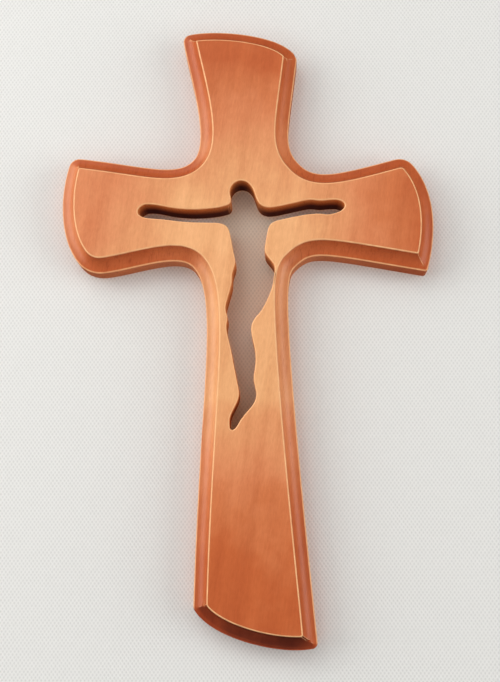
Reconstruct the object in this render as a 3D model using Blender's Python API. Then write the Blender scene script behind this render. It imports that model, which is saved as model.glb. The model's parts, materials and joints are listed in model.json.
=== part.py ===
"""Cut-out wall cross: one board of pale stained wood with four flared arms.

A cove runs round the front edge, and a figure with outstretched arms is cut right through.
The cross hangs upright: +Z is up, the front faces -Y, and the origin is on the back face,
where it hangs. The shapes are drawn flat in millimetres, x to the right and y up as seen from
the front, about the point where the middles of the arms cross.
"""

import math
from collections import namedtuple

import bmesh
import bpy
from mathutils import Vector

MM = 0.001

# The board
BOARD_THICKNESS = 17.2
COVE_WIDTH = 6.3
COVE_DEPTH = 5.8
EDGE_EASING = 0.4
HANGING_RISE = 62.0

# The end of an arm: how far its middle is from the crossing along the arm and to the clockwise side,
# its width from corner to corner, its slant in degrees clockwise, the degrees by which its curve
# rises off that slant at the corner that a clockwise walk meets first and how long it keeps this
# direction as a share of the width, the same for the last corner, and the radius of both corners
ArmEnd = namedtuple("ArmEnd", "reach offset width slant first_lean first_pull last_lean last_pull "
                              "first_radius last_radius")
TOP_END = ArmEnd(86.7, -3.55, 58.2, 12.7, 42.6, 0.18, 67.5, 0.25, 4.0, 3.6)
RIGHT_END = ArmEnd(81.7, -0.85, 58.3, -9.6, 40.8, 0.284, 25.9, 0.457, 8.4, 1.4)
BOTTOM_END = ArmEnd(193.95, -4.1, 59.6, 16.8, 37.3, 0.23, 46.9, 0.265, 2.9, 4.1)
LEFT_END = ArmEnd(80.8, 1.2, 59.6, -9.8, 46.1, 0.34, 30.4, 0.312, 14.3, 5.5)

# The hollow between two arms: its deepest point and the heading of a clockwise walk there.
# Each side leaves its corner on a heading of its own. The pulls say how long it keeps its direction
# at the corner and in the hollow, as shares of the straight way between them.
Hollow = namedtuple("Hollow", "x y heading")
Side = namedtuple("Side", "heading corner_pull hollow_pull")
UPPER_RIGHT_HOLLOW = Hollow(26.4, 25.5, -45.0)
LOWER_RIGHT_HOLLOW = Hollow(23.5, -25.1, -135.0)
LOWER_LEFT_HOLLOW = Hollow(-25.8, -25.0, 135.0)
UPPER_LEFT_HOLLOW = Hollow(-26.2, 28.6, 45.0)
TOP_RIGHT_SIDE = Side(-96.8, 0.707, 0.24)
RIGHT_UPPER_SIDE = Side(-164.7, 0.64, 0.216)
RIGHT_LOWER_SIDE = Side(169.8, 0.838, 0.186)
SHAFT_RIGHT_SIDE = Side(95.65, 0.965, 0.036)
SHAFT_LEFT_SIDE = Side(88.9, 0.593, 0.117)
LEFT_LOWER_SIDE = Side(-1.9, 0.325, 0.241)
LEFT_UPPER_SIDE = Side(-6.6, 0.617, 0.207)
TOP_LEFT_SIDE = Side(-86.8, 0.194, 0.217)

# The cut-out figure, clockwise from the tip of the hand on the left
FIGURE_LEFT_ARM_TOP = ((-52.4, 1.0), (-50.5, 4.2), (-46.5, 4.9), (-41.0, 4.1), (-37.0, 3.2), (-31.0, 2.4),
                       (-24.5, 2.1), (-17.0, 2.6), (-11.0, 3.6), (-7.9, 5.1))
FIGURE_HEAD = ((-7.4, 7.5), (-8.0, 10.5), (-7.2, 13.7), (-4.6, 16.0), (-1.5, 16.3), (1.3, 14.8),
               (3.3, 11.8), (4.8, 7.4), (6.3, 4.7))
FIGURE_RIGHT_ARM_TOP = ((9.0, 3.1), (11.5, 2.8), (17.5, 3.8), (25.0, 5.4), (30.5, 6.5), (36.0, 6.0),
                        (41.5, 6.4), (45.5, 5.8), (47.3, 3.7))
FIGURE_RIGHT_ARM_UNDER = ((45.6, 1.2), (42.3, -0.2), (39.0, -0.8), (36.0, -0.4), (31.0, -0.5),
                          (24.5, -1.5), (17.0, -3.1), (13.0, -4.3))
FIGURE_RIGHT_WAIST = ((11.0, -6.2), (10.1, -9.2), (9.2, -14.0), (8.7, -18.0), (9.2, -20.0), (13.1, -25.4),
                      (13.5, -27.5), (13.0, -32.0), (12.1, -36.5))
FIGURE_RIGHT_LEG = ((10.0, -42.0), (6.8, -48.0), (3.5, -52.0), (2.3, -55.5), (2.9, -61.0), (4.3, -68.0),
                    (4.2, -74.0), (3.4, -79.8), (4.1, -84.0), (4.7, -87.5))
FIGURE_FEET = ((3.6, -91.6), (0.0, -96.0), (-3.0, -100.0), (-5.3, -103.5), (-7.0, -104.0), (-7.8, -101.5),
               (-7.5, -98.0), (-6.0, -94.5), (-3.9, -90.0))
FIGURE_LEFT_LEG = ((-3.3, -86.7), (-4.2, -81.5), (-6.0, -72.5), (-7.4, -65.0), (-9.0, -58.5), (-9.4, -55.0),
                   (-8.9, -51.0), (-9.9, -46.5))
FIGURE_LEFT_WAIST = ((-9.0, -42.0), (-7.0, -34.5), (-6.7, -29.5), (-5.2, -24.3), (-6.0, -19.5), (-7.1, -13.5),
                     (-8.0, -9.0), (-9.6, -6.1), (-12.4, -4.8))
FIGURE_LEFT_ARM_UNDER = ((-18.0, -4.4), (-25.0, -4.2), (-32.0, -3.7), (-39.0, -2.7), (-46.0, -2.1),
                         (-50.5, -1.1))

# How finely the curves are cut into facets
PATH_SAMPLES = 240
END_STEPS = 12
HOLLOW_STEPS = 34
CORNER_STEPS = 5
COVE_STEPS = 8
FIGURE_STEPS = 3
MERGE_DISTANCE = 0.005

WOOD_COLOUR = (0.62, 0.24, 0.10, 1.0)
WOOD_ROUGHNESS = 0.38

Station = namedtuple("Station", "point inward")


def clear_scene():
    for thing in list(bpy.data.objects):
        bpy.data.objects.remove(thing, do_unlink=True)


def new_collection(name):
    collection = bpy.data.collections.new(name)
    bpy.context.scene.collection.children.link(collection)
    return collection


def heading_vector(degrees):
    return Vector((math.cos(math.radians(degrees)), math.sin(math.radians(degrees))))


def right_of(direction):
    """The side that faces into the board on a clockwise walk round it."""
    return Vector((direction.y, -direction.x)).normalized()


def end_corners(end, along):
    across = right_of(along)
    middle = end.reach * along + end.offset * across
    lean = math.radians(end.slant)
    chord = math.cos(lean) * across + math.sin(lean) * right_of(across)
    return middle - chord * end.width / 2, middle + chord * end.width / 2


def bezier_stations(knots, samples):
    p0, p1, p2, p3 = knots
    stations = []
    for step in range(samples + 1):
        t = step / samples
        s = 1 - t
        point = s ** 3 * p0 + 3 * s * s * t * p1 + 3 * s * t * t * p2 + t ** 3 * p3
        slope = s * s * (p1 - p0) + 2 * s * t * (p2 - p1) + t * t * (p3 - p2)
        stations.append(Station(point, right_of(slope)))
    return stations


def end_path(end, along):
    """Stations along the curved end of an arm."""
    start, finish = end_corners(end, along)
    chord = finish - start
    slant = math.degrees(math.atan2(chord.y, chord.x))
    leaving = heading_vector(slant + end.first_lean) * end.first_pull * end.width
    arriving = heading_vector(slant - end.last_lean) * end.last_pull * end.width
    return bezier_stations((start, start + leaving, finish - arriving, finish), PATH_SAMPLES)


def hollow_path(start, first_side, hollow, last_side, finish):
    """Stations from one arm's corner through the hollow to the next arm's corner."""
    deepest = Vector((hollow.x, hollow.y))
    through = heading_vector(hollow.heading)
    way_in = (deepest - start).length
    way_out = (finish - deepest).length
    into = (start, start + heading_vector(first_side.heading) * first_side.corner_pull * way_in,
            deepest - through * first_side.hollow_pull * way_in, deepest)
    out_of = (deepest, deepest + through * last_side.hollow_pull * way_out,
              finish + heading_vector(last_side.heading) * last_side.corner_pull * way_out, finish)
    half = PATH_SAMPLES // 2
    return bezier_stations(into, half) + bezier_stations(out_of, half)[1:]


def outline_paths():
    """The eight smooth stretches of the outline, clockwise, each with the radius of the corner after it."""
    top = end_path(TOP_END, Vector((0, 1)))
    right = end_path(RIGHT_END, Vector((1, 0)))
    bottom = end_path(BOTTOM_END, Vector((0, -1)))
    left = end_path(LEFT_END, Vector((-1, 0)))
    return [
        (top, TOP_END.last_radius, END_STEPS),
        (hollow_path(top[-1].point, TOP_RIGHT_SIDE, UPPER_RIGHT_HOLLOW, RIGHT_UPPER_SIDE, right[0].point),
         RIGHT_END.first_radius, HOLLOW_STEPS),
        (right, RIGHT_END.last_radius, END_STEPS),
        (hollow_path(right[-1].point, RIGHT_LOWER_SIDE, LOWER_RIGHT_HOLLOW, SHAFT_RIGHT_SIDE,
                     bottom[0].point),
         BOTTOM_END.first_radius, HOLLOW_STEPS),
        (bottom, BOTTOM_END.last_radius, END_STEPS),
        (hollow_path(bottom[-1].point, SHAFT_LEFT_SIDE, LOWER_LEFT_HOLLOW, LEFT_LOWER_SIDE, left[0].point),
         LEFT_END.first_radius, HOLLOW_STEPS),
        (left, LEFT_END.last_radius, END_STEPS),
        (hollow_path(left[-1].point, LEFT_UPPER_SIDE, UPPER_LEFT_HOLLOW, TOP_LEFT_SIDE, top[0].point),
         TOP_END.first_radius, HOLLOW_STEPS),
    ]


def station_at(path, place):
    """The station at a fractional place along a path."""
    index = min(int(place), len(path) - 2)
    share = place - index
    here, after = path[index], path[index + 1]
    point = here.point.lerp(after.point, share)
    return Station(point, here.inward.lerp(after.inward, share).normalized())


def meeting_places(path, following, depth):
    """Where two neighbouring paths meet once both are moved in by a depth."""
    ahead = [station.point + station.inward * depth for station in path]
    behind = [station.point + station.inward * depth for station in following]
    nearest = None
    for back in range(len(ahead) - 2, len(ahead) // 2, -1):
        a, along = ahead[back], ahead[back + 1] - ahead[back]
        for front in range(len(behind) // 2):
            b, across = behind[front], behind[front + 1] - behind[front]
            spread = along.cross(across)
            if abs(spread) < 1e-12:
                continue
            share = (b - a).cross(across) / spread
            other = (b - a).cross(along) / spread
            if 0 <= share <= 1 and 0 <= other <= 1:
                return back + share, front + other
            gap = (b - a).length
            if nearest is None or gap < nearest[0]:
                nearest = (gap, float(back), float(front))
    return nearest[1], nearest[2]


def board_ring(paths, inset):
    """The outline moved in by an inset. A corner's radius shrinks with it until the corner is a mitre."""
    starts, finishes, centres = [], [], []
    count = len(paths)
    for index, (path, radius, _) in enumerate(paths):
        following = paths[(index + 1) % count][0]
        depth = max(radius, inset)
        finish, start = meeting_places(path, following, depth)
        station = station_at(path, finish)
        finishes.append(finish)
        starts.append(start)
        centres.append((station.point + station.inward * depth, depth - inset))
    points = []
    for index, (path, _, steps) in enumerate(paths):
        start, finish = starts[index - 1], finishes[index]
        for step in range(steps + 1):
            station = station_at(path, start + (finish - start) * step / steps)
            points.append(station.point + station.inward * inset)
        centre, radius = centres[index]
        before = station_at(path, finish).inward
        after = station_at(paths[(index + 1) % count][0], starts[index]).inward
        turn = before.angle_signed(after)
        for step in range(1, CORNER_STEPS):
            angle = -turn * step / CORNER_STEPS
            spoke = Vector((before.x * math.cos(angle) - before.y * math.sin(angle),
                            before.x * math.sin(angle) + before.y * math.cos(angle)))
            points.append(centre - spoke * radius)
    return points


def board_profile():
    """The edge from the back face to the front face, as pairs of inset and height."""
    wall_top = BOARD_THICKNESS - COVE_DEPTH
    first = math.asin(EDGE_EASING / COVE_WIDTH)
    last = math.acos(EDGE_EASING / COVE_DEPTH)
    profile = [(EDGE_EASING, 0.0), (0.0, EDGE_EASING), (0.0, wall_top - EDGE_EASING)]
    for step in range(COVE_STEPS + 1):
        angle = first + (last - first) * step / COVE_STEPS
        profile.append((COVE_WIDTH * math.sin(angle), wall_top + COVE_DEPTH * (1 - math.cos(angle))))
    profile.append((COVE_WIDTH + EDGE_EASING, BOARD_THICKNESS))
    return profile


def figure_ring():
    """Stations round the cut-out figure, clockwise, read from a smooth curve through its points."""
    knots = (FIGURE_LEFT_ARM_TOP + FIGURE_HEAD + FIGURE_RIGHT_ARM_TOP + FIGURE_RIGHT_ARM_UNDER
             + FIGURE_RIGHT_WAIST + FIGURE_RIGHT_LEG + FIGURE_FEET + FIGURE_LEFT_LEG + FIGURE_LEFT_WAIST
             + FIGURE_LEFT_ARM_UNDER)
    curve = bpy.data.curves.new("figure outline", "CURVE")
    curve.dimensions = "2D"
    curve.resolution_u = FIGURE_STEPS
    spline = curve.splines.new("BEZIER")
    spline.bezier_points.add(len(knots) - 1)
    spline.use_cyclic_u = True
    for knot, (x, y) in zip(spline.bezier_points, knots):
        knot.co = (x, y, 0.0)
        knot.handle_left_type = "AUTO"
        knot.handle_right_type = "AUTO"
    guide = bpy.data.objects.new("figure outline", curve)
    bpy.context.scene.collection.objects.link(guide)
    bpy.context.view_layer.update()
    evaluated = guide.evaluated_get(bpy.context.evaluated_depsgraph_get())
    mesh = bpy.data.meshes.new_from_object(evaluated)
    points = [vertex.co.to_2d() for vertex in mesh.vertices]
    bpy.data.objects.remove(guide, do_unlink=True)
    bpy.data.meshes.remove(mesh)
    stations = []
    for index, point in enumerate(points):
        slope = points[(index + 1) % len(points)] - points[index - 1]
        stations.append(Station(point, right_of(slope)))
    return stations


def figure_profile():
    """The cutter from behind the board to in front of it, as pairs of outset and height."""
    flare = EDGE_EASING * 1.5
    over = flare - EDGE_EASING
    return [(flare, -over), (0.0, EDGE_EASING), (0.0, BOARD_THICKNESS - EDGE_EASING),
            (flare, BOARD_THICKNESS + over)]


def loft(name, rings, collection):
    """A closed solid through rings of (x, y, height), from the back ring to the front ring."""
    bm = bmesh.new()
    layers = [[bm.verts.new(Vector(point) * MM) for point in ring] for ring in rings]
    for lower, upper in zip(layers, layers[1:]):
        for index in range(len(lower)):
            bm.faces.new((lower[index - 1], lower[index], upper[index], upper[index - 1]))
    bm.faces.new(layers[0])
    bm.faces.new(layers[-1])
    bmesh.ops.remove_doubles(bm, verts=bm.verts[:], dist=MERGE_DISTANCE * MM)
    bmesh.ops.recalc_face_normals(bm, faces=bm.faces[:])
    mesh = bpy.data.meshes.new(name)
    bm.to_mesh(mesh)
    bm.free()
    solid = bpy.data.objects.new(name, mesh)
    solid.location = (0.0, 0.0, -HANGING_RISE * MM)
    solid.rotation_euler = (math.pi / 2, 0.0, 0.0)
    collection.objects.link(solid)
    return solid


def wood_material():
    material = bpy.data.materials.new("stained wood")
    material.use_nodes = True
    shader = material.node_tree.nodes["Principled BSDF"]
    shader.inputs["Base Color"].default_value = WOOD_COLOUR
    shader.inputs["Roughness"].default_value = WOOD_ROUGHNESS
    shader.inputs["Metallic"].default_value = 0.0
    return material


def make_board(collection):
    paths = outline_paths()
    rings = [[(point.x, point.y, height) for point in board_ring(paths, inset)]
             for inset, height in board_profile()]
    board = loft("cross", rings, collection)
    board.data.materials.append(wood_material())
    return board


def make_figure_cutter(collection):
    stations = figure_ring()
    rings = []
    for outset, height in figure_profile():
        moved = [station.point - station.inward * outset for station in stations]
        rings.append([(point.x, point.y, height) for point in moved])
    cutter = loft("figure cutter", rings, collection)
    cutter.hide_render = True
    cutter.display_type = "WIRE"
    return cutter


def cut(board, cutter):
    modifier = board.modifiers.new("figure cut through", "BOOLEAN")
    modifier.operation = "DIFFERENCE"
    modifier.solver = "EXACT"
    modifier.object = cutter


def main():
    clear_scene()
    parts = new_collection("Cut-out cross")
    cutters = new_collection("Cutters")
    board = make_board(parts)
    cut(board, make_figure_cutter(cutters))
    board.data.shade_smooth()
    board.data.set_sharp_from_angle(angle=math.radians(30))


main()
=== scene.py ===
import json
import math

import bmesh
import bpy
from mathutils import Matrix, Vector

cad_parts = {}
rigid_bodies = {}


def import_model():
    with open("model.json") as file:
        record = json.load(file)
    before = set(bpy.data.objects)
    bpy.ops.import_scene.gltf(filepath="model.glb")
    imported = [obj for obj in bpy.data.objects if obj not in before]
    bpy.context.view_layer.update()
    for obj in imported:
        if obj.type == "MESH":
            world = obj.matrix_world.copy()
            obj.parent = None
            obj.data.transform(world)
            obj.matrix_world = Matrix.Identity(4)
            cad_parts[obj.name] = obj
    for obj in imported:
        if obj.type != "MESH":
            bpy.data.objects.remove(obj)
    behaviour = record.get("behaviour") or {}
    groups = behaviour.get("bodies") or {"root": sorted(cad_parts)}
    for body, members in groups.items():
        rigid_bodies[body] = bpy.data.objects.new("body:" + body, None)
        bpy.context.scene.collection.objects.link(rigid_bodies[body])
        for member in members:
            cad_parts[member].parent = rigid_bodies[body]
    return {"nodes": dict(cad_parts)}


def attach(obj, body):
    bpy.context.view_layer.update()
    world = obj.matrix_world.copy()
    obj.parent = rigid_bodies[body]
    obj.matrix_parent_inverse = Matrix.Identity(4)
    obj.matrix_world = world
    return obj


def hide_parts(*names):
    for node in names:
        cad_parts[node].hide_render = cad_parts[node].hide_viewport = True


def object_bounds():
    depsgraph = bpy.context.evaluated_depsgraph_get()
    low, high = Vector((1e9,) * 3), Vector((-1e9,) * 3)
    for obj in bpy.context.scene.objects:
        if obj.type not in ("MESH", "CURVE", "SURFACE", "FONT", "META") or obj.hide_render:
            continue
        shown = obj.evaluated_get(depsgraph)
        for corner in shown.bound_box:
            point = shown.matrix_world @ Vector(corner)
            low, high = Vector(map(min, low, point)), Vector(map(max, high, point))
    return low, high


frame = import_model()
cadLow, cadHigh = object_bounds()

# A carved wooden wall cross, hung upright. The front faces -Y and the wall is just behind y = 0.

mm = 0.001
crossing = Vector((0.0, 0.0, -62 * mm))  # where the middles of the arms meet


# Selecting and shaping, as in edit mode

def deselectAll():
    bpy.ops.object.select_all(action="DESELECT")


def makeActive(thing):
    deselectAll()
    thing.select_set(True)
    bpy.context.view_layer.objects.active = thing


def startEditing(thing, mode):
    makeActive(thing)
    bpy.ops.object.mode_set(mode="EDIT")
    bpy.ops.mesh.select_mode(type=mode)


def stopEditing():
    bpy.ops.object.mode_set(mode="OBJECT")


def selectOnly(kind, wanted):
    # kind is "faces" or "edges", wanted says which of them to take
    thing = bpy.context.object
    mesh = bmesh.from_edit_mesh(thing.data)
    bpy.ops.mesh.select_all(action="DESELECT")
    chosen = [element for element in getattr(mesh, kind) if wanted(element)]
    for element in chosen:
        element.select_set(True)
    bmesh.update_edit_mesh(thing.data)


def applyModifier(thing, kind, **settings):
    makeActive(thing)
    modifier = thing.modifiers.new(kind, kind)
    for name, value in settings.items():
        setattr(modifier, name, value)
    bpy.ops.object.modifier_apply(modifier=modifier.name)


# Building materials

class NodeBench:
    # Adds nodes to a material. An input that is a socket is linked, any other is set.

    def __init__(self, name):
        self.material = bpy.data.materials.new(name)
        self.material.use_nodes = True
        self.tree = self.material.node_tree
        self.tree.nodes.clear()

    def node(self, kind, inputs=None, **settings):
        made = self.tree.nodes.new("ShaderNode" + kind)
        for name, value in settings.items():
            setattr(made, name, value)
        for name, value in (inputs or {}).items():
            if isinstance(value, bpy.types.NodeSocket):
                self.tree.links.new(value, made.inputs[name])
            else:
                made.inputs[name].default_value = value
        return made

    def math(self, kind, *values):
        return self.node("Math", dict(enumerate(values)), operation=kind).outputs[0]

    def between(self, share, first, second):
        # The first where the share is 0, the second where it is 1
        return self.math("ADD", first, self.math("MULTIPLY", share, self.math("SUBTRACT", second, first)))

    def mix(self, kind, share, first, second):
        inputs = {0: share, 6: first, 7: second}
        return self.node("Mix", inputs, data_type="RGBA", blend_type=kind).outputs[2]

    def range(self, value, low, high, fromValue=0.0, toValue=1.0):
        inputs = {0: value, 1: low, 2: high, 3: fromValue, 4: toValue}
        return self.node("MapRange", inputs).outputs[0]

    def noise(self, vector, scale, detail=2.0, roughness=0.5):
        inputs = {"Vector": vector, "Scale": scale, "Detail": detail, "Roughness": roughness}
        return self.node("TexNoise", inputs).outputs[0]

    def spread(self, noise, low, high):
        # Nearly all of a noise lies between 0.3 and 0.7
        return self.range(noise, 0.3, 0.7, low, high)

    def mapping(self, vector, inputs):
        return self.node("Mapping", {"Vector": vector, **inputs}).outputs[0]

    def mark(self, name):
        return self.node("Attribute", attribute_name=name).outputs["Fac"]

    def ramp(self, value, stops):
        ramp = self.node("ValToRGB", {0: value})
        elements = ramp.color_ramp.elements
        while len(elements) < len(stops):
            elements.new(0.5)
        for element, (place, colour) in zip(elements, stops):
            element.position = place
            element.color = (*colour, 1.0)
        return ramp.outputs[0]

    def finish(self, shader):
        self.node("OutputMaterial", {"Surface": shader})
        return self.material


# The cross: a copy of the CAD board, refined until its arrises and hollows are smooth

crossShape = {
    "mergeDistance": 0.004 * mm,
    "flatNormal": 0.9999,         # the front and the back have at least this much of y in their normals
    "flatLevel": 0.05 * mm,       # and lie this near their levels
    "wallNormal": 0.02,           # an upright wall has at most this much
    "wallHeight": 11.4 * mm,      # the outer wall's, from the back to the arris where the cove begins
    "wallSupport": 0.6 * mm,      # how far from each arris of a wall its extra loop lies
    "diagonalAngle": math.radians(14),
    "mitreAngle": math.radians(24),
    "mitreRise": 0.12,            # how steeply a mitre climbs, at the least
    "mitreCrease": 0.93,
    "knotAngle": math.radians(15),
    "knotCrease": 0.85,
    "levels": 2,
    "ridgeWidth": 0.22 * mm,      # the mitres between two coves are sanded this far
    "ridgeSegments": 2,
    "rubbedStrip": 0.30 * mm,     # a ring inside the front's edge, where sanding took the stain off
    "shadeAngle": math.radians(32),
    "normalWeight": 80,
}
frontY = cadLow.y
backY = cadHigh.y
arrisY = backY - crossShape["wallHeight"]


def isFlat(face):
    level = face.verts[0].co.y
    isNear = min(abs(level - frontY), abs(level - backY)) < crossShape["flatLevel"]
    return isNear and abs(face.normal.y) > crossShape["flatNormal"]


def isWall(face):
    return abs(face.normal.y) < crossShape["wallNormal"]


def isDiagonal(edge):
    # The longest edge of both its triangles is the one that splits a four-sided facet
    if len(edge.link_faces) != 2 or any(len(face.verts) != 3 for face in edge.link_faces):
        return False
    own = edge.calc_length()
    around = [other.calc_length() for face in edge.link_faces for other in face.edges if other is not edge]
    return own > max(around) and edge.calc_face_angle() < crossShape["diagonalAngle"]


def isMitre(edge):
    # An edge that climbs from the outer arris to the face, where two coves meet
    if len(edge.link_faces) != 2 or edge.calc_face_angle() < crossShape["mitreAngle"]:
        return False
    rise = abs(edge.verts[0].co.y - edge.verts[1].co.y)
    return rise > crossShape["mitreRise"] * edge.calc_length()


def isKnot(edge):
    # An upright edge of the cut-out's wall, where its outline turns sharply
    if len(edge.link_faces) != 2 or not all(isWall(face) for face in edge.link_faces):
        return False
    return edge.calc_face_angle() > crossShape["knotAngle"]


def wallLevels():
    # The levels at which the upright walls end, read from the copy itself
    mesh = bmesh.from_edit_mesh(bpy.context.object.data)
    levels = sorted({round(vert.co.y / mm, 1) for face in mesh.faces if isWall(face) for vert in face.verts})
    return [level * mm for level in levels]


def markCutOut():
    # The walls of the figure aren't linked to the board's outer edge once the flat faces are gone
    thing = bpy.context.object
    mesh = bmesh.from_edit_mesh(thing.data)
    mesh.faces.layers.int.new("inside")
    widest = max(mesh.verts, key=lambda vert: vert.co.x)
    bpy.ops.mesh.select_all(action="DESELECT")
    widest.select_set(True)
    bmesh.update_edit_mesh(thing.data)
    bpy.ops.mesh.select_mode(type="VERT")
    bpy.ops.mesh.select_linked()
    mesh = bmesh.from_edit_mesh(thing.data)
    inside = mesh.faces.layers.int.get("inside")
    for face in mesh.faces:
        face[inside] = 0 if face.select else 1
    bmesh.update_edit_mesh(thing.data)


def edgeBand(piece):
    # Leaves the walls, the cove and the eased arrises, with four-sided facets
    startEditing(piece, "FACE")
    bpy.ops.mesh.select_all(action="SELECT")
    bpy.ops.mesh.remove_doubles(threshold=crossShape["mergeDistance"])
    selectOnly("faces", isFlat)
    bpy.ops.mesh.delete(type="FACE")
    bpy.ops.mesh.select_mode(type="EDGE")
    selectOnly("edges", isDiagonal)
    bpy.ops.mesh.dissolve_edges(use_verts=False)
    markCutOut()
    levels = wallLevels()
    print("walls end at", [round(level / mm, 2) for level in levels])
    for level in levels:
        bpy.ops.mesh.select_mode(type="FACE")
        selectOnly("faces", isWall)
        towardsBack = crossShape["wallSupport"] if level < levels[-1] else -crossShape["wallSupport"]
        bpy.ops.mesh.bisect(plane_co=(0.0, level + towardsBack, 0.0), plane_no=(0.0, 1.0, 0.0))
    stopEditing()


def creaseCorners(piece):
    # Mitres and knots stay crisp when the rest is smoothed
    mesh = bmesh.new()
    mesh.from_mesh(piece.data)
    crease = mesh.edges.layers.float.get("crease_edge") or mesh.edges.layers.float.new("crease_edge")
    corner = mesh.verts.layers.float.get("crease_vert") or mesh.verts.layers.float.new("crease_vert")
    for edge in mesh.edges:
        if isKnot(edge):
            edge[crease] = crossShape["knotCrease"]
            for vert in edge.verts:
                vert[corner] = crossShape["knotCrease"]
        elif isMitre(edge):
            edge[crease] = crossShape["mitreCrease"]
    mesh.to_mesh(piece.data)
    mesh.free()


def sandRidges(piece):
    # Each mitre becomes a narrow rounded strip, marked so that it can show bare wood
    startEditing(piece, "EDGE")
    mesh = bmesh.from_edit_mesh(piece.data)
    mesh.faces.layers.int.new("ridge")
    selectOnly("edges", lambda edge: isMitre(edge) and not all(isWall(face) for face in edge.link_faces))
    bpy.ops.mesh.bevel(offset=crossShape["ridgeWidth"], segments=crossShape["ridgeSegments"], affect="EDGES",
                       clamp_overlap=True)
    mesh = bmesh.from_edit_mesh(piece.data)
    ridge = mesh.faces.layers.int.get("ridge")
    for face in mesh.faces:
        face[ridge] = 1 if face.select else 0
    bmesh.update_edit_mesh(piece.data)
    # Where a strip runs out at an arris, some of its points lie on each other
    bpy.ops.mesh.select_all(action="SELECT")
    bpy.ops.mesh.remove_doubles(threshold=crossShape["mergeDistance"])
    stopEditing()


def closeFlats(piece):
    # Fills the front and the back again, with the rubbed ring inside the front's edge
    startEditing(piece, "EDGE")
    near = crossShape["flatLevel"]
    for level in (frontY, backY):
        selectOnly("edges", lambda edge: edge.is_boundary and abs(edge.verts[0].co.y - level) < near)
        bpy.ops.mesh.fill(use_beauty=True)
    bpy.ops.mesh.select_all(action="SELECT")
    bpy.ops.mesh.normals_make_consistent(inside=False)
    bpy.ops.mesh.select_mode(type="FACE")
    selectOnly("faces", lambda face: isFlat(face) and face.normal.y < 0)
    bpy.ops.mesh.inset(thickness=crossShape["rubbedStrip"], use_even_offset=True)
    stopEditing()


def carveCross():
    node = frame["nodes"]["cross"]
    piece = bpy.data.objects.new("carved_cross", node.data.copy())
    bpy.context.scene.collection.objects.link(piece)
    edgeBand(piece)
    creaseCorners(piece)
    applyModifier(piece, "SUBSURF", levels=crossShape["levels"], render_levels=crossShape["levels"],
                  boundary_smooth="ALL")
    sandRidges(piece)
    closeFlats(piece)
    makeActive(piece)
    bpy.ops.object.shade_smooth_by_angle(angle=crossShape["shadeAngle"], keep_sharp_edges=False)
    applyModifier(piece, "WEIGHTED_NORMAL", keep_sharp=True, weight=crossShape["normalWeight"])
    return piece


carvedCross = carveCross()
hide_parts("cross")
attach(carvedCross, "root")
print("cross carved:", len(carvedCross.data.polygons), "faces")


# Where the stain is rubbed off, where it lies thick, and where light and shade are painted into it

wearLook = {
    "softCurve": 0.35 / mm,     # bends tighter than this begin to show bare wood
    "hardCurve": 1.3 / mm,      # and from this on they show as much as they can
    "bendReach": 2.5 * mm,      # how long an edge may be and still count as part of a bend
    "outerRub": 0.42,           # how bare the outer arris and the figure's rim are, against the face's arris
    "figureRub": 0.6,
    "ridgeRub": 0.6,            # how bare the mitres are
    "rubbedDepth": 0.5 * mm,    # how far below the face the rubbing goes
    "coveShade": 1.0,           # how far the cove takes its own deep stain
    "coveLeftPaintedLight": 0.92,           # painted light: how much less of it the coves facing left, right and down take, so that they look lit from there
    "coveRightPaintedLight": 0.64,
    "coveUnderPaintedLight": 0.15,
    "sidePower": 3,             # the higher, the more squarely a cove has to face left or right for that
    "coveOuter": 0.45,          # how much more of it lies along the outer arris
    "outerBand": 0.22,          # how wide that is, as the slope at which it ends
    "wallShade": 0.6,           # how far the outer wall takes it
    "coveFootPaintedShade": 2.8,            # painted shade: how much more the cove and the wall take at the foot of the cross, where they face down
    "wallFootPaintedShade": 1.2,
    "footLevel": -232 * mm,     # the foot lies below this
    "footSlope": 4.0,           # how soon that painted shade deepens as the surface turns down
}


def tightestBend(vert):
    bends = [0.0]
    for edge in vert.link_edges:
        away = vert.co - edge.other_vert(vert).co
        if 0.0 < away.length < wearLook["bendReach"]:
            bends.append(2 * vert.normal.dot(away) / away.length_squared)
    return max(bends)


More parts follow.
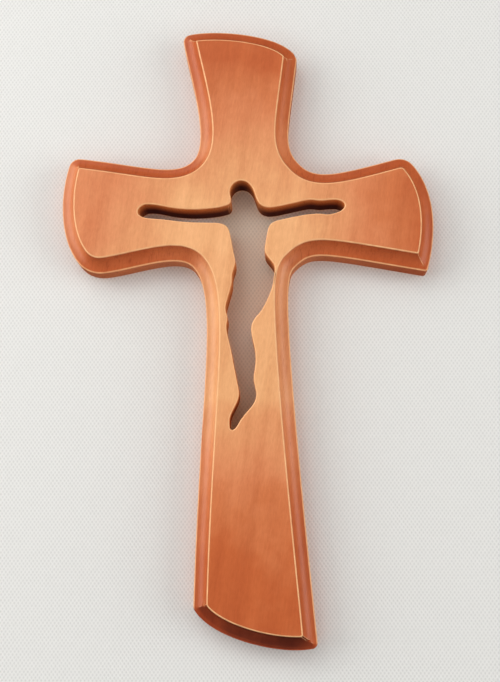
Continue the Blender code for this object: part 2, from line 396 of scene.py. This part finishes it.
def markWear(piece):
    # The marks lie on face corners, so that none spreads over the flat faces
    mesh = bmesh.new()
    mesh.from_mesh(piece.data)
    inside = mesh.faces.layers.int["inside"]
    ridge = mesh.faces.layers.int["ridge"]
    rubbed = mesh.loops.layers.float.new("rubbed")
    stainAndShade = mesh.loops.layers.float.new("stainAndShade")
    within = mesh.loops.layers.float.new("within")
    low, high = wearLook["softCurve"], wearLook["hardCurve"]
    bends = {vert: min(1.0, max(0.0, (tightestBend(vert) - low) / (high - low))) for vert in mesh.verts}
    for face in mesh.faces:
        flat = isFlat(face)
        for loop in face.loops:
            vert = loop.vert
            beside = [other for other in vert.link_faces if not isFlat(other)]
            figure = any(other[inside] for other in beside)
            share = wearLook["figureRub"] if figure else 1.0
            below = (vert.co.y - frontY) / wearLook["rubbedDepth"] / share
            if flat:
                loop[rubbed] = share if beside and below < 1.0 else 0.0
                continue
            downward = max(0.0, -vert.normal.z)
            # Painted shade: below the foot's level the surface is painted darker the more it faces down
            foot = min(1.0, wearLook["footSlope"] * downward) if vert.co.z < wearLook["footLevel"] else 0.0
            if below < 1.0:
                loop[rubbed] = share
            elif face[ridge]:
                loop[rubbed] = wearLook["ridgeRub"]
            elif not any(other[ridge] for other in beside):
                # The foot's painted shade dims the pale arris there
                loop[rubbed] = bends[vert] * wearLook["outerRub"] * (1.0 - foot)
            if face[inside]:
                loop[within] = 1.0
                # Painted shade: the cut-out's wall is darkest where it faces down
                loop[stainAndShade] = downward
            elif vert.co.y > arrisY:
                loop[stainAndShade] = wearLook["wallShade"] + wearLook["wallFootPaintedShade"] * foot
            else:
                outward = max(0.001, math.hypot(vert.normal.x, vert.normal.z))
                # Painted light: a cove facing left, right or down is painted lighter, as if lit from that
                # side
                sideLight = wearLook["coveLeftPaintedLight"] if vert.normal.x < 0.0 else wearLook["coveRightPaintedLight"]
                sideways = (abs(vert.normal.x) / outward) ** wearLook["sidePower"]
                loop[stainAndShade] = wearLook["coveShade"] - sideLight * sideways
                loop[stainAndShade] -= wearLook["coveUnderPaintedLight"] * downward / outward
                loop[stainAndShade] += wearLook["coveOuter"] * max(0.0, 1.0 - outward / wearLook["outerBand"])
                loop[stainAndShade] += wearLook["coveFootPaintedShade"] * foot
    mesh.to_mesh(piece.data)
    mesh.free()


markWear(carvedCross)


# Stained wood: amber at the crossing, red-brown at the ends, darker in the cove, bare along the arrises,
# with painted light on coves facing the sides and painted shade at the foot and in the cut-out

woodLook = {
    # For each arm: mm from the crossing at which the stain begins to deepen, and at which it is full
    "up": (0.0, 80.0),
    "right": (21.0, 88.0),
    "left": (25.0, 70.0),
    "down": (89.0, 170.0),
    "rightMost": 1.08,
    "leftMost": 0.6,
    "leftLean": 0.5,            # the left arm's stain is deeper towards its upper edge
    "downPower": 0.62,          # under 1, so that the foot's stain deepens fast and then slowly
    "armBlend": 0.1,
    "cloud": (0.045, 3.0, 0.55),
    "cloudTone": (-0.13, 0.11),
    "back": 0.72,
    "backTone": (-0.1, 0.1),
    "backEdge": (0.25, 0.05),   # mm in front of the back, between which its even stain begins
    "deepest": 2.2,             # the shade at the dark end of the list, 1 is the deepest on the face
    "stain": [
        (0.00, (0.835, 0.410, 0.178)),
        (0.29, (0.745, 0.305, 0.125)),
        (0.51, (0.705, 0.250, 0.100)),
        (0.63, (0.670, 0.212, 0.080)),
        (0.78, (0.612, 0.170, 0.055)),
        (1.00, (0.530, 0.113, 0.028)),
        (1.30, (0.450, 0.082, 0.018)),
        (1.60, (0.340, 0.050, 0.011)),
        (2.20, (0.120, 0.016, 0.005)),
    ],
    "rubbed": (0.93, 0.52, 0.25, 1.0),
    "rubbedFull": 0.5,          # the mark from which the wood is quite bare
    "patchScale": 0.25,
    "patches": (0.35, 0.65, 0.7, 1.0),
    "cove": (1.08, 1.30),       # the cove's shade near the crossing and at the ends
    "withinFront": (0.68, 0.23, 0.060, 1.0),
    "withinPaintedShade": (0.06, 0.008, 0.002, 1.0),
    "withinShadeDepth": 10.0,         # mm below the face at which the cut-out wall's painted shade is darkest
    "withinRough": 0.3,
    "grainLean": math.radians(-8),
    # How closely each layer of the grain repeats, across, through and along the wood, and how strong it is
    "streaks": (0.8, 0.8, 0.09),
    "bands": (0.12, 0.12, 0.011),
    "flecks": (1.5, 1.5, 0.3),
    "pores": (1.7, 0.35, 0.16),
    "mottle": 0.55,
    "streakTone": 0.04,
    "bandTone": 0.13,
    "mottleTone": 0.03,
    "fleckTone": 0.07,
    "poreLevels": (0.56, 0.66),
    "poreShades": (0.9, 1.3),   # between these shades the pores fade from the first tone to the second
    "poreTones": (0.38, 0.15),
    "redPower": 0.6,            # dark grain is redder, so its red changes least and its blue most
    "bluePower": 1.3,
    "roughness": 0.42,
    "roughnessSpread": 0.04,
    "specular": 0.22,
    "coat": 0.25,
    "coatEdge": 0.3,            # mm either side of the arris over which the lacquer ends
    "coatDull": (1.4, 2.6),     # the depths of stain and painted shade between which it turns dull
    "coatRoughness": 0.32,
}


def stainedWood():
    bench = NodeBench("stained wood")
    place = bench.node("TexCoord").outputs["Object"]
    spot = bench.mapping(place, {"Location": -crossing / mm, "Scale": (1 / mm,) * 3})
    x, y, z = bench.node("SeparateXYZ", {0: spot}).outputs
    up = bench.range(z, *woodLook["up"])
    right = bench.range(x, *woodLook["right"], 0.0, woodLook["rightMost"])
    leftward = bench.math("SUBTRACT", bench.math("MULTIPLY", z, woodLook["leftLean"]), x)
    left = bench.range(leftward, *woodLook["left"], 0.0, woodLook["leftMost"])
    downward = bench.range(bench.math("MULTIPLY", z, -1.0), *woodLook["down"])
    down = bench.math("POWER", downward, woodLook["downPower"])
    upright = bench.math("SMOOTH_MAX", up, down, woodLook["armBlend"])
    arms = bench.math("SMOOTH_MAX", left, right, woodLook["armBlend"])
    shade = bench.math("SMOOTH_MAX", upright, arms, woodLook["armBlend"])
    cloud = bench.noise(spot, *woodLook["cloud"])
    shade = bench.math("ADD", shade, bench.spread(cloud, *woodLook["cloudTone"]))
    # The back is stained evenly
    behind = bench.range(y, *(backY / mm - edge for edge in woodLook["backEdge"]))
    plain = bench.math("ADD", woodLook["back"], bench.spread(cloud, *woodLook["backTone"]))
    shade = bench.between(behind, shade, plain)
    # The cove's deep stain, with painted light on coves facing the sides or down and painted shade at the
    # foot
    stainAndShade = bench.mark("stainAndShade")
    deep = bench.range(shade, 0.0, 1.0, *woodLook["cove"])
    shade = bench.between(stainAndShade, shade, deep)
    stops = [(level / woodLook["deepest"], tint) for level, tint in woodLook["stain"]]
    colour = bench.ramp(bench.math("DIVIDE", shade, woodLook["deepest"]), stops)
    # Painted shade: the cut-out's wall is painted darker towards the back, most where it faces down
    within = bench.mark("within")
    inward = bench.range(y, frontY / mm, frontY / mm + woodLook["withinShadeDepth"])
    dark = bench.math("MULTIPLY", inward, stainAndShade)
    wallTintAndShade = bench.mix("MIX", dark, woodLook["withinFront"], woodLook["withinPaintedShade"])
    colour = bench.mix("MIX", within, colour, wallTintAndShade)
    # Grain runs up the upright and leans a little
    lean = bench.mapping(spot, {"Rotation": (0.0, woodLook["grainLean"], 0.0)})
    streaks = bench.noise(bench.mapping(lean, {"Scale": woodLook["streaks"]}), 1.0, 3.0, 0.6)
    bands = bench.noise(bench.mapping(lean, {"Scale": woodLook["bands"]}), 1.0, 3.0, 0.6)
    flecks = bench.noise(bench.mapping(lean, {"Scale": woodLook["flecks"]}), 1.0, 2.0, 0.7)
    mottle = bench.noise(spot, woodLook["mottle"], 3.0, 0.6)
    tone = bench.spread(streaks, -woodLook["streakTone"], woodLook["streakTone"])
    for layer, strength in ((bands, "bandTone"), (mottle, "mottleTone"), (flecks, "fleckTone")):
        tone = bench.math("ADD", tone, bench.spread(layer, -woodLook[strength], woodLook[strength]))
    # Torn grain shows as thin dark lines where the cove turns across it
    pores = bench.noise(bench.mapping(lean, {"Scale": woodLook["pores"]}), 1.0)
    pores = bench.range(pores, *woodLook["poreLevels"])
    poreTone = bench.range(shade, *woodLook["poreShades"], *woodLook["poreTones"])
    pores = bench.math("MULTIPLY", pores, poreTone)
    tone = bench.math("SUBTRACT", tone, bench.math("MULTIPLY", pores, bench.math("MINIMUM", stainAndShade, 1.0)))
    tone = bench.math("ADD", tone, 1.0)
    red = bench.math("POWER", tone, woodLook["redPower"])
    blue = bench.math("POWER", tone, woodLook["bluePower"])
    toned = bench.node("CombineColor", {0: red, 1: tone, 2: blue}).outputs[0]
    colour = bench.mix("MULTIPLY", 1.0, colour, toned)
    rubbed = bench.mark("rubbed")
    patchy = bench.range(bench.noise(spot, woodLook["patchScale"]), *woodLook["patches"])
    bare = bench.math("MULTIPLY", bench.range(rubbed, 0.0, woodLook["rubbedFull"]), patchy)
    colour = bench.mix("MIX", bare, colour, woodLook["rubbed"])
    # The lacquer is on the front and the cove, and dull where the stain and the painted shade are deepest
    edge = woodLook["coatEdge"]
    lacquer = bench.range(y, arrisY / mm - edge, arrisY / mm + edge, woodLook["coat"], 0.0)
    lacquer = bench.math("MULTIPLY", lacquer, bench.range(stainAndShade, *woodLook["coatDull"], 1.0, 0.0))
    lacquer = bench.math("MULTIPLY", bench.math("SUBTRACT", 1.0, within), lacquer)
    spread = woodLook["roughnessSpread"]
    roughness = bench.spread(mottle, woodLook["roughness"] - spread, woodLook["roughness"] + spread)
    roughness = bench.math("ADD", roughness, bench.math("MULTIPLY", within, woodLook["withinRough"]))
    relief = bench.math("ADD", bench.math("MULTIPLY", streaks, 0.5), bench.math("MULTIPLY", mottle, 0.5))
    bump = bench.node("Bump", {"Height": relief, "Strength": 0.12, "Distance": 0.0003})
    shader = bench.node("BsdfPrincipled", {
        "Base Color": colour,
        "Roughness": roughness,
        "IOR": 1.5,
        "Specular IOR Level": woodLook["specular"],
        "Coat Weight": lacquer,
        "Coat Roughness": woodLook["coatRoughness"],
        "Normal": bump.outputs[0],
    })
    return bench.finish(shader.outputs[0])


carvedCross.data.materials.clear()
carvedCross.data.materials.append(stainedWood())
print("wood stained")


# The wall behind, the floor, the camera and the lights

studio = {
    "wallGap": 0.3 * mm,
    "wallSize": 6.0,
    "floorDrop": 0.7,
    "wallColour": (0.78, 0.775, 0.75, 1.0),
    "floorColour": (0.70, 0.69, 0.66, 1.0),
    "dotPitch": 1.84,             # mm between the cloth's dots along a row
    "rowPitch": 1.3,              # mm between its rows
    "dotSize": (0.08, 0.5),       # from a dot's full depth to its rim, as shares of the lattice
    "dotFade": (380.0, 620.0),    # mm from the middle
    "dotTone": 0.17,
    "fibreScale": 0.9,
    "fibreTone": 0.02,
    # Painted light and shade on the cloth behind the cut-out
    "paintedGlowWide": (1.0, 0.92, 0.80, 1.0),
    "paintedShadeNarrow": (0.72, 0.56, 0.38, 1.0),
    "glowSide": (14.0, 20.0),     # mm to either side, between which the painted warm light and shade ends
    "glowMiddle": 110.0,          # mm below the hanging point
    "glowReach": (70.0, 80.0),    # mm up and down from there, between which it ends
    "glowDeepens": (-120.0, -172.0),
    "worldColour": (1.0, 0.99, 0.97, 1.0),
    "worldHorizon": (-0.3, 0.2),  # the heights between which the light changes from below to above
    "worldBelow": 0.30,
    "worldAbove": 0.38,
    "worldMirrored": 0.08,
    "worldSeen": 0.78,
}


def clothMaterial():
    bench = NodeBench("pale cloth")
    place = bench.node("TexCoord").outputs["Object"]
    spot = bench.mapping(place, {"Scale": (1 / mm,) * 3})
    x, y, z = bench.node("SeparateXYZ", {0: spot}).outputs
    alongRow = bench.math("DIVIDE", x, studio["dotPitch"])
    acrossRow = bench.math("DIVIDE", z, 2 * studio["rowPitch"])
    diagonals = {0: bench.math("ADD", acrossRow, alongRow), 1: bench.math("SUBTRACT", acrossRow, alongRow)}
    lattice = bench.node("CombineXYZ", diagonals).outputs[0]
    dots = bench.node("TexVoronoi", {"Vector": lattice, "Scale": 1.0, "Randomness": 0.0},
                      voronoi_dimensions="2D")
    dot = bench.range(dots.outputs["Distance"], *studio["dotSize"], 1.0, 0.0)
    # The dots fade into plain cloth away from the cross
    away = bench.math("SQRT", bench.math("ADD", bench.math("MULTIPLY", x, x), bench.math("MULTIPLY", z, z)))
    dot = bench.math("MULTIPLY", dot, bench.range(away, *studio["dotFade"], 1.0, 0.0))
    fibre = bench.noise(spot, studio["fibreScale"], 3.0, 0.6)
    tone = bench.math("SUBTRACT", 1.0, bench.math("MULTIPLY", dot, studio["dotTone"]))
    tone = bench.math("ADD", tone, bench.spread(fibre, -studio["fibreTone"], studio["fibreTone"]))
    toned = bench.node("CombineColor", {0: tone, 1: tone, 2: tone}).outputs[0]
    colour = bench.mix("MULTIPLY", 1.0, studio["wallColour"], toned)
    # Painted light and shade: behind the figure the cloth is painted with the wood's warm light, darkest at
    # the narrow feet
    beside = bench.range(bench.math("ABSOLUTE", x), *studio["glowSide"], 1.0, 0.0)
    fromMiddle = bench.math("ABSOLUTE", bench.math("ADD", z, studio["glowMiddle"]))
    along = bench.range(fromMiddle, *studio["glowReach"], 1.0, 0.0)
    narrow = bench.range(z, *studio["glowDeepens"])
    paintedGlowAndShade = bench.mix("MIX", narrow, studio["paintedGlowWide"], studio["paintedShadeNarrow"])
    colour = bench.mix("MULTIPLY", bench.math("MULTIPLY", beside, along), colour, paintedGlowAndShade)
    height = bench.math("SUBTRACT", bench.math("MULTIPLY", fibre, 0.2), dot)
    bump = bench.node("Bump", {"Height": height, "Strength": 0.25, "Distance": 0.0002})
    front = bench.node("BsdfPrincipled", {
        "Base Color": colour,
        "Roughness": 0.85,
        "Specular IOR Level": 0.2,
        "Normal": bump.outputs[0],
    })
    # From behind, the wall is clear
    clear = bench.node("BsdfTransparent")
    behind = bench.node("NewGeometry").outputs["Backfacing"]
    both = bench.node("MixShader", {0: behind, 1: front.outputs[0], 2: clear.outputs[0]})
    return bench.finish(both.outputs[0])


def floorMaterial():
    bench = NodeBench("plain pale floor")
    shader = bench.node("BsdfPrincipled", {
        "Base Color": studio["floorColour"],
        "Roughness": 0.8,
        "Emission Color": studio["floorColour"],
        "Emission Strength": 0.6,
    })
    return bench.finish(shader.outputs[0])


def addWall():
    deselectAll()
    bpy.ops.mesh.primitive_plane_add(size=studio["wallSize"], location=(0.0, backY + studio["wallGap"], 0.0),
                                     rotation=(math.pi / 2, 0.0, 0.0))
    wall = bpy.context.object
    wall.name = "backdrop"
    bpy.ops.object.transform_apply(location=True, rotation=True, scale=True)
    wall.data.materials.append(clothMaterial())
    wall.visible_glossy = False
    return wall


def addFloor():
    deselectAll()
    level = cadLow.z - studio["floorDrop"]
    bpy.ops.mesh.primitive_plane_add(size=studio["wallSize"] * 2, location=(0.0, 0.0, level))
    floor = bpy.context.object
    floor.name = "floor"
    floor.data.materials.append(floorMaterial())
    # It is only looked at, so that it throws no light on the cross from below
    floor.visible_diffuse = False
    floor.visible_glossy = False


photoCamera = {
    "place": (0.01691, -0.54374, -0.21588),
    "forward": (-0.0283, 0.9848, 0.1713),
    "lens": 60.0,
    "sensor": 36.0,
}


def aimed(direction):
    # Cameras and lights look along their own -Z
    return Vector(direction).to_track_quat("-Z", "Y").to_euler()


def addCamera():
    data = bpy.data.cameras.new("photo view")
    data.lens = photoCamera["lens"]
    data.sensor_width = photoCamera["sensor"]
    camera = bpy.data.objects.new("photo view", data)
    bpy.context.scene.collection.objects.link(camera)
    camera.location = photoCamera["place"]
    camera.rotation_euler = aimed(photoCamera["forward"])
    bpy.context.scene.camera = camera


softboxes = [
    # Name, place, the point that it faces, width, height, watts, and whether the lacquer mirrors it
    ("window", (-0.6, -0.7, 0.6), (0.0, 0.0, -0.08), 1.0, 1.0, 4.6, True),
    ("left light", (-0.9, -0.45, 0.0), (0.0, 0.0, -0.12), 0.7, 0.9, 6.0, True),
    ("right light", (1.0, -0.5, -0.2), (0.0, 0.0, -0.15), 0.7, 0.9, 6.2, True),
    ("front fill", (0.0, -1.0, 0.3), (0.0, 0.0, -0.08), 0.8, 0.8, 1.4, False),
    ("light from below", (-0.1, -0.7, -0.85), (0.0, 0.0, -0.15), 0.8, 0.8, 1.1, False),
]
backSun = {
    "power": 1.8,
    "angle": math.radians(12),
    "direction": (0.0, -1.0, -0.35),
}


def addSoftbox(name, place, target, width, height, power, mirrored):
    data = bpy.data.lights.new(name, "AREA")
    data.shape = "RECTANGLE"
    data.size = width
    data.size_y = height
    data.energy = power
    lamp = bpy.data.objects.new(name, data)
    bpy.context.scene.collection.objects.link(lamp)
    lamp.location = place
    lamp.rotation_euler = aimed(Vector(target) - Vector(place))
    lamp.visible_glossy = mirrored


def addBackSun(wall):
    # Lights the back of the cross for a view from behind, through the wall
    data = bpy.data.lights.new("back sun", "SUN")
    data.energy = backSun["power"]
    data.specular_factor = 0.0
    data.angle = backSun["angle"]
    sun = bpy.data.objects.new("back sun", data)
    bpy.context.scene.collection.objects.link(sun)
    sun.visible_glossy = False
    sun.rotation_euler = aimed(backSun["direction"])
    blockers = bpy.data.collections.new("does not stop the back sun")
    blockers.objects.link(wall)
    sun.light_linking.blocker_collection = blockers
    blockers.collection_objects[0].light_linking.link_state = "EXCLUDE"


def addWorld():
    world = bpy.data.worlds.new("soft white room")
    world.use_nodes = True
    tree = world.node_tree
    sky = tree.nodes["Background"]
    sky.inputs["Color"].default_value = studio["worldColour"]
    # Light comes from above the horizon, little of it is mirrored, and the camera sees an even pale room
    direction = tree.nodes.new("ShaderNodeTexCoord")
    parts = tree.nodes.new("ShaderNodeSeparateXYZ")
    strength = tree.nodes.new("ShaderNodeMapRange")
    rays = tree.nodes.new("ShaderNodeLightPath")
    mirrored = tree.nodes.new("ShaderNodeMix")
    seen = tree.nodes.new("ShaderNodeMix")
    values = (*studio["worldHorizon"], studio["worldBelow"], studio["worldAbove"])
    for place, value in zip((1, 2, 3, 4), values):
        strength.inputs[place].default_value = value
    mirrored.inputs[3].default_value = studio["worldMirrored"]
    seen.inputs[3].default_value = studio["worldSeen"]
    tree.links.new(direction.outputs["Generated"], parts.inputs[0])
    tree.links.new(parts.outputs[2], strength.inputs[0])
    tree.links.new(rays.outputs["Is Glossy Ray"], mirrored.inputs[0])
    tree.links.new(strength.outputs[0], mirrored.inputs[2])
    tree.links.new(rays.outputs["Is Camera Ray"], seen.inputs[0])
    tree.links.new(mirrored.outputs[0], seen.inputs[2])
    tree.links.new(seen.outputs[0], sky.inputs["Strength"])
    bpy.context.scene.world = world


wall = addWall()
addFloor()
addCamera()
addWorld()
for softbox in softboxes:
    addSoftbox(*softbox)
addBackSun(wall)
bpy.context.scene.view_settings.view_transform = "Standard"
print("studio set")
